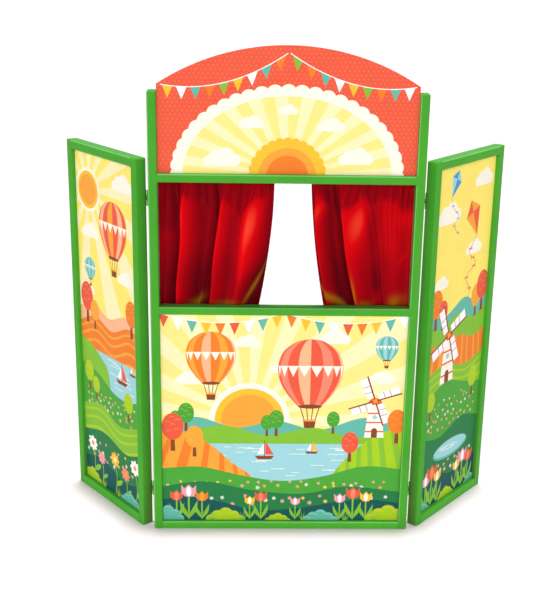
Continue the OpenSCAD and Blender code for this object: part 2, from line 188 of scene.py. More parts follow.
class Tree:
    """The nodes of a material or a world. An input takes a value or another node's output."""

    def __init__(self, owner, shader="Principled BSDF"):
        owner.use_nodes = True
        self.owner = owner
        self.nodes = owner.node_tree.nodes
        self.links = owner.node_tree.links
        self.shader = self.nodes[shader]

    def feed(self, node, inputs):
        for name, source in inputs.items():
            if isinstance(source, bpy.types.NodeSocket):
                self.links.new(source, node.inputs[name])
            else:
                node.inputs[name].default_value = source

    def add(self, kind, inputs=None):
        node = self.nodes.new("ShaderNode" + kind)
        self.feed(node, inputs or {})
        return node

    def finish(self, inputs):
        """Sets the shader's inputs and gives the material or the world."""
        self.feed(self.shader, inputs)
        return self.owner

    def noise(self, scale, stretch=(1, 1, 1), detail=3.0):
        """Noise in the object's own coordinates; stretch is its frequency along each axis."""
        coords = self.add("TexCoord").outputs["Object"]
        place = self.add("Mapping", {"Vector": coords, "Scale": stretch}).outputs["Vector"]
        return self.add("TexNoise", {"Vector": place, "Scale": scale, "Detail": detail}).outputs["Fac"]

    def ramp(self, factor, low, high):
        ramp = self.add("ValToRGB", {"Fac": factor})
        for stop, place, colour in zip(ramp.color_ramp.elements, RAMP_ENDS, (low, high)):
            stop.position = place
            stop.color = colour
        return ramp.outputs["Color"]

    def span(self, factor, low, high, start=0.0, end=1.0):
        """Low where the factor is start, high where it is end, and even between."""
        return self.add("MapRange", {"Value": factor, "From Min": start, "From Max": end,
                                     "To Min": low, "To Max": high}).outputs["Result"]

    def tone(self, colour, **changes):
        """The colour with its Hue, Saturation or Value changed by textures."""
        return self.add("HueSaturation", {"Color": colour, **changes}).outputs["Color"]

    def bump(self, height, strength, distance):
        inputs = {"Height": height, "Strength": strength, "Distance": distance}
        return self.add("Bump", inputs).outputs["Normal"]

    def attribute(self, name):
        attribute = self.add("Attribute")
        attribute.attribute_name = name
        return attribute.outputs["Color"]

    def corner_shaded(self, colour):
        """The colour with painted shade: darker and browner in tight corners, where less light reaches."""
        corner = self.add("AmbientOcclusion", {"Distance": CORNER_SHADE_REACH})
        corner.samples = 8
        return self.tone(colour, **{name: self.span(corner.outputs["AO"], *change, *CORNER_SHADE_OPENNESS)
                                    for name, change in CORNER_SHADE_TONE.items()})

    def edge_highlighted(self, colour, axis, towards, band):
        """The colour with a painted highlight: paler on rounded edges whose normal lies within a band of
        slants towards one side.
        """
        normal = self.add("TexCoord").outputs["Normal"]
        slant = self.add("SeparateXYZ", {"Vector": normal}).outputs[axis]
        ramp = self.add("ValToRGB", {"Fac": self.span(slant, 0.0, 1.0, 0.0, towards)})
        stops = ramp.color_ramp.elements
        for stop, place in zip(stops, (band[0], band[3])):
            stop.position = place
            stop.color = BLACK
        for place in band[1:3]:
            stops.new(place).color = WHITE
        edge_highlight = ramp.outputs["Color"]
        return self.tone(colour, Value=self.span(edge_highlight, 1.0, HIGHLIGHT_VALUE),
                         Saturation=self.span(edge_highlight, 1.0, HIGHLIGHT_SATURATION))


def new_material(name):
    return Tree(bpy.data.materials.new(name))


def floor_white():
    return new_material("floor_white").finish(
        {"Base Color": FLOOR_COLOUR, "Roughness": 0.9, "Specular IOR Level": 0.0})


def painted_wood(name, colour, grain, edge_highlight=None):
    """Sprayed paint on wood with faint grain, painted shade in corners and painted highlights on some edges.
    """
    tree = new_material(name)
    fibres = tree.noise(scale=420.0, stretch=GRAIN[grain], detail=4.0)
    blotch = tree.noise(scale=9.0)
    # The paint takes painted shade in tight corners
    paint = tree.corner_shaded(tree.ramp(blotch, scaled(colour, 0.94), scaled(colour, 1.06)))
    return tree.finish({
        "Base Color": tree.edge_highlighted(paint, *edge_highlight) if edge_highlight else paint,
        "Roughness": tree.span(fibres, 0.24, 0.34),
        "Specular IOR Level": 0.04,
        "Normal": tree.bump(fibres, strength=0.12, distance=0.0006)})


def hardboard():
    """Bare pressed wood fibre: the backs and edges of the boards."""
    tree = new_material("hardboard")
    fleck = tree.noise(scale=340.0, detail=6.0)
    blotch = tree.noise(scale=16.0, detail=5.0)
    fibre = tree.ramp(fleck, linear("#8f6b47"), linear("#b58c62"))
    return tree.finish({
        "Base Color": tree.tone(fibre, Value=tree.span(blotch, 0.82, 1.16)),
        "Roughness": 0.75,
        "Normal": tree.bump(fleck, strength=0.2, distance=0.0005)})


def bare_wood():
    """Beech with its fibres along x."""
    tree = new_material("dowel_beech")
    fibres = tree.noise(scale=300.0, stretch=(0.05, 1, 1), detail=5.0)
    return tree.finish({
        "Base Color": tree.ramp(fibres, linear("#b98f5d"), linear("#e0c08f")),
        "Roughness": 0.6,
        "Normal": tree.bump(fibres, strength=0.2, distance=0.0004)})


def steel(name, along):
    """Drawn steel with fine lines along the rod or pin."""
    tree = new_material(name)
    lines = tree.noise(scale=900.0, stretch=along)
    return tree.finish({
        "Base Color": tree.ramp(lines, linear("#9c9fa3"), linear("#c9cbce")),
        "Roughness": tree.span(lines, 0.22, 0.42),
        "Metallic": 1.0})


def painted_metal():
    """Hinge metal sprayed with the frame: thicker paint, a little orange peel, a green painted lighter
    against shade.
    """
    tree = new_material("hinge_paint")
    peel = tree.noise(scale=700.0, detail=2.0)
    blotch = tree.noise(scale=60.0)
    return tree.finish({
        "Base Color": tree.ramp(blotch, scaled(BRIGHTENED_HINGE_GREEN, 0.86), scaled(BRIGHTENED_HINGE_GREEN, 1.02)),
        "Roughness": tree.span(peel, 0.25, 0.4),
        "Specular IOR Level": 0.3,
        "Normal": tree.bump(peel, strength=0.15, distance=0.0004)})


def printed_paper():
    """Ink under a thin satin varnish. The ink's colour is on the faces."""
    tree = new_material("printed_paper")
    wash = tree.noise(scale=24.0, detail=5.0)
    grain = tree.noise(scale=1400.0, detail=2.0)
    return tree.finish({
        "Base Color": tree.tone(tree.attribute("ink"), Value=tree.span(wash, 0.93, 1.05)),
        "Roughness": tree.span(grain, 0.36, 0.5),
        "Specular IOR Level": 0.05,
        "Normal": tree.bump(grain, strength=0.05, distance=0.0003)})


def satin():
    """Red satin, whose smooth threads draw highlights out along the folds. The dye, with painted shade,
    painted highlights and a painted reflection of the sill, is on the points.
    """
    tree = new_material("curtain_satin")
    threads = tree.noise(scale=1500.0, stretch=(1, 1, 0.06), detail=2.0)
    cloudy = tree.noise(scale=22.0, stretch=(1, 1, 0.35), detail=4.0)
    down = tree.add("Tangent")
    down.direction_type = "UV_MAP"
    down.uv_map = "cloth"
    return tree.finish({
        "Base Color": tree.tone(tree.attribute("dye_and_painted_light"), Value=tree.span(cloudy, 0.8, 1.16)),
        "Roughness": tree.span(threads, 0.4, 0.5),
        "Tangent": down.outputs["Tangent"],
        "Anisotropic": 0.9,
        "Metallic": 0.25,
        "Specular IOR Level": 0.25,
        "Specular Tint": (1.0, 0.12, 0.08, 1.0),
        "Normal": tree.bump(threads, strength=0.08, distance=0.0002)})


def dress_cad():
    """Gives every CAD node its material. The curtains' nodes don't show: satin pieces replace them."""
    # The first ending that fits a node's name decides
    # Bottom rails take a lighter green against shade; posts, stiles and rails take painted edge highlights
    finishes = (("post", painted_wood("post_paint", GREEN, "z", POST_EDGE_HIGHLIGHT)),
                ("stile", painted_wood("stile_paint", GREEN, "z", STILE_EDGE_HIGHLIGHT)),
                ("wing_bottom_rail", painted_wood("wing_foot_paint", BRIGHTENED_FOOT_GREEN, "x")),
                ("bottom_rail", painted_wood("foot_paint", BRIGHTENED_FOOT_GREEN, "x", TOP_EDGE_HIGHLIGHT)),
                ("rail", painted_wood("rail_paint", GREEN, "x", TOP_EDGE_HIGHLIGHT)),
                ("board", hardboard()),
                ("dowels", bare_wood()),
                ("pins", steel("pin_steel", along=(1, 1, 0.05))),
                ("rod", steel("rod_steel", along=(0.02, 1, 1))),
                ("", painted_metal()))
    for name, node in NODES.items():
        material = next(material for ending, material in finishes if name.endswith(ending))
        node.data.materials.clear()
        node.data.materials.append(material)


# Prints: flat shapes in millimetres, (s, t) right and up from the middle of a board's lower edge. What runs
# past the board is cut off at its outline.

INKS = {name: linear(code) for name, code in dict(
    sky="#fdee8c", straw="#ffed74", glow="#fff5bd", cream="#fffbe8", white="#ffffff", sun="#fcc63a",
    amber="#f7a940", orange="#f28430", peach="#f9bd90", coral="#ee6044", blush="#f27c60", rose="#f68e74",
    pink="#f5a3b5", brown="#8b4c2e", lime="#a9d22a", leaf="#86c43c", grass="#4fa93e", forest="#2c8049",
    teal="#1d5a59", sea="#66bda8", water="#9fd8df", blue="#4f9bcb").items()}
# The ink of the light strokes on each ink
LIGHTER = {"coral": "rose", "orange": "amber", "amber": "sun", "sun": "cream", "pink": "white",
           "grass": "lime", "lime": "sun", "sea": "water"}
# The printed paper's thickness, and the glue line under it
PAPER_T, GLUE_T = 0.12, 0.02
# Points of a drawing that lie this close are one point
MERGE_WITHIN = 0.005
# Hills run down past the boards' lower edge, and rays past the other edges
HILL_FOOT, RAY_REACH = -20.0, 420.0


class Print:
    """Flat shapes in paint order, cut into one sheet of printed paper with no overlaps."""

    def __init__(self, outline, ink):
        self.shapes = []
        self.add(outline, ink)

    def add(self, points, ink):
        self.shapes.append((np.array(points, float), ink))

    def each(self, draw, *places):
        """Draws a motif at each of the places, which also give its size and ink."""
        for place in places:
            draw(self, *place)

    def paste(self, name, place, material):
        """The sheet as a mesh piece; place takes (s, t, height off the board) into the frame."""
        flat, edges = [], []
        for points, _ in self.shapes:
            first, count = len(flat), len(points)
            flat.extend(Vector(point) for point in points)
            edges.extend((first + k, first + (k + 1) % count) for k in range(count))
        whole_hull = 0
        cut, _, triangles, _, _, _ = delaunay_2d_cdt(flat, edges, [], whole_hull, MERGE_WITHIN, False)
        cut, triangles = np.array([tuple(point) for point in cut]), np.array(triangles)
        middles = cut[triangles].mean(axis=1)
        top = np.full(len(triangles), -1)
        for layer, (points, _) in enumerate(self.shapes):
            top[inside(middles, points)] = layer
        kept = inside(middles, self.shapes[0][0])
        used, corners = np.unique(triangles[kept], return_inverse=True)
        sheet = add_mesh(name, [place(s, t, GLUE_T + PAPER_T) for s, t in cut[used]],
                         corners.reshape(-1, 3).tolist(), material)
        ink = sheet.data.color_attributes.new("ink", "FLOAT_COLOR", "CORNER")
        colours = np.array([INKS[colour] for _, colour in self.shapes])[top[kept]]
        ink.data.foreach_set("color", np.repeat(colours, 3, axis=0).ravel())
        thick = sheet.modifiers.new("paper", "SOLIDIFY")
        thick.thickness = PAPER_T * MM
        thick.offset = -1.0
        return sheet


def inside(points, shape):
    """Which of the points lie within a closed shape."""
    found = np.flatnonzero(((points >= shape.min(axis=0)) & (points <= shape.max(axis=0))).all(axis=1))
    x, y = points[found].T
    odd = np.zeros(len(found), bool)
    for (x0, y0), (x1, y1) in zip(shape, np.roll(shape, -1, axis=0)):
        if y0 != y1:
            odd ^= ((y0 > y) != (y1 > y)) & (x < x0 + (y - y0) * (x1 - x0) / (y1 - y0))
    return found[odd]


def ring(s, t, rs, rt=None, turn=0.0):
    """An ellipse about (s, t), turned by some degrees."""
    rt = rs if rt is None else rt
    count = int(min(72, max(10, 7 * math.sqrt(max(rs, rt)))))
    c, d = math.cos(math.radians(turn)), math.sin(math.radians(turn))
    angles = np.linspace(0, 2 * math.pi, count, endpoint=False)
    spokes = [(rs * math.cos(a), rt * math.sin(a)) for a in angles]
    return [(s + c * x - d * y, t + d * x + c * y) for x, y in spokes]


def arc(s, t, radius, low, high, count=9, flat=1.0):
    """Points of an arc about (s, t) between two angles in radians, its height flattened."""
    angles = np.linspace(low, high, count)
    return [(s + radius * math.cos(a), t + flat * radius * math.sin(a)) for a in angles]


def curve(points, steps=10):
    """A smooth path through the points."""
    p = [np.array(q, float) for q in points]
    p = [2 * p[0] - p[1], *p, 2 * p[-1] - p[-2]]
    path = []
    for a, b, c, d in zip(p, p[1:], p[2:], p[3:]):
        for x in np.arange(steps) / steps:
            path.append(0.5 * (2 * b + (c - a) * x + (2 * a - 5 * b + 4 * c - d) * x * x
                               + (3 * b - a - 3 * c + d) * x ** 3))
    return [*path, p[-2]]


def ribbon(path, wide):
    """A band of even width along a path."""
    path = np.array(path, float)
    along = np.gradient(path, axis=0)
    along /= np.linalg.norm(along, axis=1)[:, None]
    side = np.stack([-along[:, 1], along[:, 0]], axis=1) * wide / 2
    return np.concatenate([path + side, (path - side)[::-1]])


def slab(s, low, high, half_low, half_high):
    """A four-sided upright shape, symmetrical about s."""
    return [(s - half_low, low), (s + half_low, low), (s + half_high, high), (s - half_high, high)]


def sunburst(art, s, t, disc, rays, low, high):
    """A sun with rays between two angles in degrees."""
    step = math.radians(high - low) / (2 * rays)
    for k in range(rays):
        start = math.radians(low) + 2 * k * step
        art.add([(s, t), *arc(s, t, RAY_REACH, start, start + step, 6)], "glow")
    for share, ink in ((1.35, "cream"), (1.16, "sun"), (0.94, "amber")):
        art.add(ring(s, t, share * disc), ink)


def cloud(art, s, t, size):
    for ds, dt, r in ((-1.25, 0.1, 0.5), (-0.55, 0.38, 0.72), (0.35, 0.5, 0.86), (1.2, 0.16, 0.58)):
        art.add(ring(s + ds * size, t + dt * size, r * size), "cream")
    art.add(ring(s, t - 0.05 * size, 1.75 * size, 0.36 * size), "cream")


def hill(art, skyline, ink):
    line = curve(skyline)
    art.add([*line, (line[-1][0], HILL_FOOT), (line[0][0], HILL_FOOT)], ink)
    return line


def furrows(art, line, ink, count, gap):
    """Bands that follow a hill's skyline, lower and lower."""
    for k in range(1, count + 1):
        art.add(ribbon([(s, t - k * gap * (1 + 0.18 * k)) for s, t in line], 4 + 0.6 * k), ink)


def rows_down(art, line, ink, count, spread):
    """Crop rows that fan out down a hill from its skyline."""
    middle = line[len(line) // 2][0]
    for k in range(count):
        start, end = ((4 * k + n) * (len(line) - 1) // (4 * count) for n in (1, 3))
        top = line[start:end + 2]
        art.add([*top, *((middle + (s - middle) * spread, HILL_FOOT) for s, _ in (top[-1], top[0]))], ink)


def balloon(art, s, t, r, inks):
    """A hot-air balloon, widest at (s, t), with a pennant trim and a basket on ropes."""
    gores = 8
    for rope in (-0.3, -0.1, 0.1, 0.3):
        ends = [(s + rope * r, t - 1.15 * r), (s + 0.55 * rope * r, t - 1.62 * r)]
        art.add(ribbon(ends, 0.03 * r), "brown")
    side = curve([(1.08, 0.0), (1.0, 0.4), (0.72, 0.8), (0.36, 0.97), (0.0, 1.0), (-0.4, 0.9), (-0.8, 0.66),
                  (-1.15, 0.36)], 6)
    seams = [math.sin(math.pi * (k / gores - 0.5)) for k in range(gores + 1)]
    for k, (a, b) in enumerate(zip(seams, seams[1:])):
        left = [(s + r * w * a, t + r * h) for h, w in side]
        right = [(s + r * w * b, t + r * h) for h, w in side]
        art.add([*left, *right[:0:-1]], inks[k % len(inks)])
    trim = 0.985 * r
    for a, b in zip(seams, seams[1:]):
        rim = t + 0.2 * r
        art.add([(s + trim * a, rim), (s + trim * (a + b) / 2, t - 0.16 * r), (s + trim * b, rim)], "cream")
    art.add(ring(s, t - 1.15 * r, 0.37 * r, 0.07 * r), "brown")
    art.add(slab(s, t - 1.88 * r, t - 1.6 * r, 0.16 * r, 0.2 * r), "brown")
    art.add(slab(s, t - 1.65 * r, t - 1.58 * r, 0.205 * r, 0.215 * r), "amber")


def boat(art, s, t, size, sail):
    art.add(slab(s, t - 0.38 * size, t, 0.68 * size, size), "brown")
    art.add(ribbon([(s, t), (s, t + 1.75 * size)], 0.07 * size), "brown")
    for reach, foot, head, ink in ((0.95, 0.14, 1.7, sail), (-0.75, 0.2, 1.4, "white")):
        near = math.copysign(0.08, reach)
        art.add([(s + near * size, t + foot * size), (s + reach * size, t + foot * size),
                 (s + near * size, t + head * size)], ink)


def ripples(art, area, count, rng):
    (s0, t0), (s1, t1) = area
    for _ in range(count):
        s, t, wide = rng.uniform(s0, s1), rng.uniform(t0, t1), rng.uniform(7, 18)
        art.add(ribbon(curve([(s + k * wide / 2, t + k % 2) for k in range(-2, 3)], 4), 1.2), "cream")


def windmill(art, s, t, tall, turn):
    """A tower mill standing at (s, t), its sails turned by some degrees."""
    foot, head, top, door = 0.2 * tall, 0.124 * tall, 0.72 * tall, 0.06 * tall
    art.add(slab(s, t, t + top, foot, head), "cream")
    for low in (0.12 * tall, 0.32 * tall, 0.52 * tall):
        half = foot + (head - foot) * low / top
        art.add(slab(s, t + low, t + low + 0.03 * tall, half, 0.985 * half), "coral")
    art.add([(s - door, t), *arc(s, t + 0.15 * tall, door, math.pi, 0), (s + door, t)], "brown")
    art.add(ring(s, t + 0.45 * tall, 0.048 * tall), "water")
    art.add(arc(s, t + top, 0.148 * tall, 0, math.pi, 14), "coral")
    hub = np.array((s, t + 0.8 * tall))
    for k in range(4):
        a = math.radians(turn + 90 * k)
        out = tall * np.array((math.cos(a), math.sin(a)))
        across = tall * np.array((-math.sin(a), math.cos(a)))
        sail = ((0.085, 0), (0.085, 0.136), (0.527, 0.17), (0.527, 0))
        art.add([hub + x * out + y * across for x, y in sail], "white")
        art.add(ribbon([hub, hub + 0.56 * out], 0.03 * tall), "brown")
        for x in (0.21, 0.34):
            art.add(ribbon([hub + x * out, hub + x * out + 0.153 * across], 0.012 * tall), "brown")
    art.add(ring(*hub, 0.045 * tall), "amber")


def kite(art, s, t, size, turn, inks, tail):
    """A kite of four panels, with bows on a tail whose points count in kite sizes."""
    a = math.radians(turn)
    out = size * np.array((math.cos(a), math.sin(a)))
    up = size * np.array((-math.sin(a), math.cos(a)))
    corners = ((0, 0.25), (0, 1), (-0.72, 0.25), (0, -1.25), (0.72, 0.25))
    middle, top, left, low, right = ((s, t) + x * out + y * up for x, y in corners)
    string = curve([low, *((s + x * size, t + y * size) for x, y in tail)], 8)
    art.add(ribbon(string, 0.03 * size), "brown")
    bow = 0.16 * size
    for x, y in string[6:-2:6]:
        for side in (-bow, bow):
            art.add([(x, y), (x + side, y + 0.6 * bow), (x + side, y - 0.6 * bow)], inks[0])
    for k, (b, c) in enumerate(((top, left), (left, low), (low, right), (right, top))):
        art.add([middle, b, c], inks[k % 2])


def bunting(art, start, end, sag, size, inks):
    """A string of pennants that hangs between two points."""
    count = 9
    share = np.linspace(0, 1, 4 * count + 1)
    drop = 4 * sag * share * (1 - share)
    line = np.outer(1 - share, start) + np.outer(share, end) - np.outer(drop, (0, 1))
    for k in range(count):
        a, b, c = line[4 * k], line[4 * k + 2], line[4 * k + 4]
        art.add([a + 0.12 * (c - a), c - 0.12 * (c - a), b - (0, size)], inks[k % len(inks)])
    art.add(ribbon(line, 1.6), "white")


def bush(art, s, t, wide, tall, ink):
    lumps = [(s + ds * wide, t + dt * tall, r * wide) for ds, dt, r in (
        (-0.78, 0.3, 0.3), (-0.42, 0.55, 0.36), (0.02, 0.7, 0.4), (0.45, 0.52, 0.36), (0.8, 0.26, 0.3))]
    for x, y, r in lumps:
        art.add(ring(x, y, r), ink)
    art.add(ring(s, t + 0.1 * tall, wide, 0.42 * tall), ink)
    art.add(slab(s, t - 12, t + 0.2 * tall, wide, wide), ink)
    for x, y, r in lumps:
        art.add(ribbon(arc(x, y, 0.72 * r, 0.5, 2.3), 0.035 * wide), LIGHTER[ink])


def daisy(art, s, t, r, ink, eye, petals, stem=0.0):
    """A round flower about (s, t), with a stem of some length or none."""
    if stem:
        art.add(ribbon(curve([(s, t), (s + 0.08 * stem, t - 0.5 * stem), (s, t - stem)], 4), 2.6), "leaf")
        art.add(ring(s + 0.2 * stem, t - 0.6 * stem, 0.18 * stem, 0.07 * stem, 35), "leaf")
    for turn in np.arange(petals) * 360 / petals:
        a = math.radians(turn)
        art.add(ring(s + 0.62 * r * math.cos(a), t + 0.62 * r * math.sin(a), 0.4 * r, 0.27 * r, turn), ink)
    art.add(ring(s, t, 0.32 * r), eye)


def meadow(art, area, columns, rows, rng, inks, small, big):
    """Little flowers on a loose grid, smaller towards the top of the area."""
    (s0, t0), (s1, t1) = area
    for row in range(rows):
        for column in range(columns):
            s = s0 + (s1 - s0) * (column + 0.5 * (row % 2) + rng.uniform(0.05, 0.6)) / (columns + 0.5)
            share = (row + rng.uniform(0, 0.9)) / rows
            ink = rng.choice(inks)
            daisy(art, s, t0 + (t1 - t0) * share, big + (small - big) * share, ink,
                  "cream" if ink == "sun" else "sun", 5)


def tulip(art, s, t, tall, ink):
    cup, rim, low = 0.2 * tall, t + tall, t + 0.66 * tall
    art.add(ribbon([(s, t), (s, t + 0.75 * tall)], 0.05 * tall), "leaf")
    for side in (-tall, tall):
        leaf = curve([(s, t), (s + 0.2 * side, t + 0.25 * tall), (s + 0.24 * side, t + 0.56 * tall)], 6)
        art.add([*leaf, (s + 0.05 * side, t + 0.22 * tall)], "leaf")
    half = [(0.45, low), (0.95, low + 0.5 * cup), (1.0, rim), (0.55, rim - 0.5 * cup)]
    art.add([*((s + x * cup, y) for x, y in half), (s, rim + 0.1 * cup),
             *((s - x * cup, y) for x, y in half[::-1])], ink)
    art.add(ring(s, low + 0.75 * cup, 0.34 * cup, 0.72 * cup), LIGHTER[ink])


def tuft(art, s, t, tall, ink):
    for lean, share in ((-0.5, 0.75), (-0.2, 1.0), (0.12, 0.9), (0.45, 0.7)):
        foot, half = s + 0.25 * lean * tall, 0.07 * tall
        art.add([(foot - half, t), (foot + half, t), (s + lean * tall, t + share * tall)], ink)


def round_tree(art, s, t, tall, ink):
    """A round-topped tree with a few leaf strokes."""
    art.add(slab(s, t, t + 0.5 * tall, 0.06 * tall, 0.04 * tall), "brown")
    art.add(ring(s, t + 0.66 * tall, 0.27 * tall, 0.36 * tall), ink)
    for ds, dt in ((-0.1, 0.5), (0.1, 0.55), (0.0, 0.68), (-0.13, 0.74), (0.12, 0.8), (-0.02, 0.88)):
        stroke = ribbon(arc(s + ds * tall, t + dt * tall, 0.06 * tall, 0.4, 2.7), 0.018 * tall)
        art.add(stroke, LIGHTER[ink])


def draw_front():
    rng = random.Random(5)
    tall = SILL_BOTTOM - BOTTOM_RAIL_TOP
    art = Print(slab(0, 0, tall, POST_INNER, POST_INNER), "sky")
    sunburst(art, -64, 214, disc=58, rays=11, low=-4, high=184)
    art.each(cloud, (-176, 296, 17), (96, 380, 17), (188, 300, 15), (-70, 372, 14), (-8, 318, 11))
    balloon(art, -138, 346, 47, ("orange", "amber", "orange", "peach"))
    balloon(art, 52, 316, 62, ("coral", "rose", "coral", "peach"))
    balloon(art, 196, 366, 22, ("sea", "water"))
    inks = ("coral", "white", "sea", "sun", "orange")
    bunting(art, (-240, 434), (0, 434), sag=20, size=25, inks=inks)
    bunting(art, (0, 434), (240, 434), sag=20, size=25, inks=inks[::-1])
    hill(art, [(-240, 196), (-170, 222), (-90, 200), (-10, 214), (70, 196), (160, 222), (240, 204)], "sea")
    hill(art, [(-240, 176), (-120, 204), (-30, 184), (60, 200), (150, 180), (240, 198)], "leaf")
    for s, t, size in ((-206, 188, 46), (-186, 192, 58), (-30, 182, 44), (-12, 182, 54), (98, 188, 46)):
        round_tree(art, s, t, size, "grass")
    art.add(slab(0, 60, 166, 240, 240), "water")
    ripples(art, ((-120, 96), (120, 160)), count=26, rng=rng)
    boat(art, -34, 140, 19, "coral")
    boat(art, 58, 150, 13, "sun")
    field = hill(art, [(-240, 192), (-190, 190), (-140, 164), (-96, 124), (-60, 96), (-24, 40)], "orange")
    rows_down(art, field, "amber", count=8, spread=1.9)
    field = hill(art, [(60, 40), (110, 116), (150, 160), (190, 190), (240, 200)], "leaf")
    rows_down(art, field, "lime", count=8, spread=1.7)
    windmill(art, 178, 180, tall=96, turn=18)
    art.each(round_tree, (132, 128, 62, "coral"), (222, 168, 70, "orange"), (-212, 150, 78, "coral"),
             (-170, 138, 64, "amber"))
    hill(art, [(-240, 112), (-160, 116), (-80, 98), (0, 86), (80, 96), (160, 118), (240, 112)], "grass")
    meadow(art, ((-226, 70), (222, 88)), 16, 2, rng, ("white", "sun", "pink", "rose"), small=3.0, big=4.2)
    hill(art, [(-240, 72), (-150, 84), (-60, 66), (40, 58), (130, 74), (240, 62)], "forest")
    meadow(art, ((-226, 34), (222, 56)), 14, 2, rng, ("sun", "white", "pink"), small=3.6, big=5.0)
    hill(art, [(-240, 44), (-180, 52), (-120, 40), (-50, 22), (30, 26), (110, 40), (170, 46), (240, 38)],
         "teal")
    art.each(tulip, (-206, 2, 62, "coral"), (-182, 2, 74, "pink"), (-156, 2, 60, "orange"),
             (-62, 2, 50, "sun"), (-40, 2, 60, "coral"), (28, 2, 48, "pink"), (116, 2, 56, "pink"),
             (142, 2, 70, "coral"), (168, 2, 60, "sun"))
    art.each(bush, (-110, -8, 36, 30, "lime"), (-224, -8, 30, 40, "sea"), (212, -8, 42, 36, "lime"),
             (78, -8, 34, 26, "sea"), (-6, -8, 24, 20, "lime"))
    for s in (-136, -76, 44, 128, 186):
        tuft(art, s, 0, 20, "leaf")
    return art


def wing_print():
    """A blank wing board."""
    half = WING_W / 2 - WING_STILE
    return Print(slab(0, 0, WING_H - 2 * WING_RAIL, half, half), "straw")


def draw_left_wing():
    rng = random.Random(11)
    art = wing_print()
    sunburst(art, -62, 628, disc=32, rays=14, low=-180, high=180)
    art.each(cloud, (62, 652, 20), (-60, 540, 18), (66, 470, 16), (-74, 420, 13))
    balloon(art, 26, 566, 50, ("coral", "peach", "coral", "amber"))
    balloon(art, -64, 470, 20, ("sea", "water"))
    hill(art, [(-110, 380), (-60, 402), (0, 380), (60, 398), (110, 380)], "peach")
    field = hill(art, [(-110, 350), (-50, 372), (10, 356), (70, 378), (110, 370)], "orange")
    furrows(art, field, "amber", count=4, gap=11)
    art.each(round_tree, (-80, 352, 84, "coral"), (-52, 344, 60, "amber"), (84, 362, 74, "orange"))
    art.add(slab(0, 200, 300, 110, 110), "water")
    hill(art, [(-110, 318), (-70, 308), (-30, 286), (-6, 262), (4, 190)], "leaf")
    ripples(art, ((6, 236), (96, 294)), count=18, rng=rng)
    boat(art, 44, 262, 21, "coral")
    boat(art, 84, 288, 12, "sun")
    hill(art, [(-110, 262), (-50, 252), (10, 226), (60, 222), (110, 236)], "grass")
    meadow(art, ((-98, 172), (96, 216)), 9, 4, rng, ("white", "sun", "pink", "rose"), small=2.8, big=4.0)
    field = hill(art, [(-110, 168), (-40, 184), (30, 160), (110, 182)], "leaf")
    furrows(art, field, "lime", count=3, gap=12)
    art.each(round_tree, (66, 182, 60, "lime"), (-82, 204, 64, "lime"), (-56, 190, 50, "lime"))
    hill(art, [(-110, 108), (-30, 124), (50, 106), (110, 124)], "forest")
    meadow(art, ((-98, 58), (96, 100)), 8, 3, rng, ("sun", "white", "pink"), small=3.4, big=4.6)
    hill(art, [(-110, 48), (-40, 60), (40, 40), (110, 56)], "teal")
    for s, t, r, ink, eye in ((-78, 84, 17, "white", "amber"), (-44, 62, 14, "pink", "amber"),
                              (8, 78, 16, "sun", "cream"), (48, 60, 15, "rose", "amber"),
                              (84, 88, 17, "white", "amber")):
        daisy(art, s, t, r, ink, eye, petals=8, stem=t)
    art.each(bush, (-84, -8, 34, 30, "lime"), (66, -8, 36, 26, "sea"))
    for s in (-36, 20, 100):
        tuft(art, s, 0, 22, "lime")
    return art


def draw_right_wing():
    rng = random.Random(23)
    art = wing_print()
    art.each(cloud, (66, 655, 19), (-58, 600, 24), (44, 520, 17), (-72, 470, 15))
    kite(art, -40, 668, size=25, turn=-24, inks=("blue", "water"),
         tail=((-0.1, -2.0), (0.7, -2.7), (0.1, -3.4), (0.9, -4.2)))
    kite(art, 36, 590, size=36, turn=22, inks=("coral", "amber"),
         tail=((-0.2, -2.0), (0.5, -2.7), (-0.4, -3.4), (0.1, -4.3), (-0.5, -5.0)))
    hill(art, [(-110, 424), (-50, 404), (20, 428), (70, 408), (110, 420)], "sea")
    hill(art, [(-110, 396), (-60, 380), (0, 400), (60, 378), (110, 396)], "leaf")
    art.each(round_tree, (-84, 384, 80, "orange"), (-58, 378, 60, "coral"), (66, 378, 66, "amber"),
             (90, 384, 84, "coral"))
    field = hill(art, [(-110, 360), (-50, 340), (10, 352), (60, 336), (110, 346)], "amber")
    rows_down(art, field, "orange", count=9, spread=1.5)
    field = hill(art, [(-110, 290), (-40, 302), (40, 282), (110, 296)], "leaf")
    furrows(art, field, "lime", count=4, gap=11)
    windmill(art, -30, 262, tall=124, turn=20)
    hill(art, [(-110, 236), (-30, 262), (50, 240), (110, 226)], "grass")
    meadow(art, ((-98, 164), (96, 226)), 9, 5, rng, ("white", "pink", "sun", "rose"), small=2.8, big=4.0)
    art.each(round_tree, (76, 202, 66, "lime"), (-84, 196, 58, "lime"))
    hill(art, [(-110, 160), (-40, 146), (40, 166), (110, 148)], "forest")
    art.add(ring(4, 108, 66, 20), "sea")
    art.add(ring(4, 110, 62, 17), "water")
    ripples(art, ((-30, 102), (38, 118)), count=7, rng=rng)
    meadow(art, ((-98, 62), (96, 84)), 9, 2, rng, ("sun", "white", "pink"), small=4.0, big=4.8)
    hill(art, [(-110, 58), (-50, 66), (20, 48), (110, 64)], "teal")
    art.each(tulip, (-84, 2, 74, "pink"), (-62, 2, 88, "coral"), (-40, 2, 70, "sun"), (34, 2, 66, "sun"),
             (58, 2, 84, "pink"), (82, 2, 74, "coral"))
    art.each(bush, (-92, -10, 26, 24, "sea"), (-4, -10, 30, 28, "lime"), (96, -10, 26, 22, "sea"))
    return art


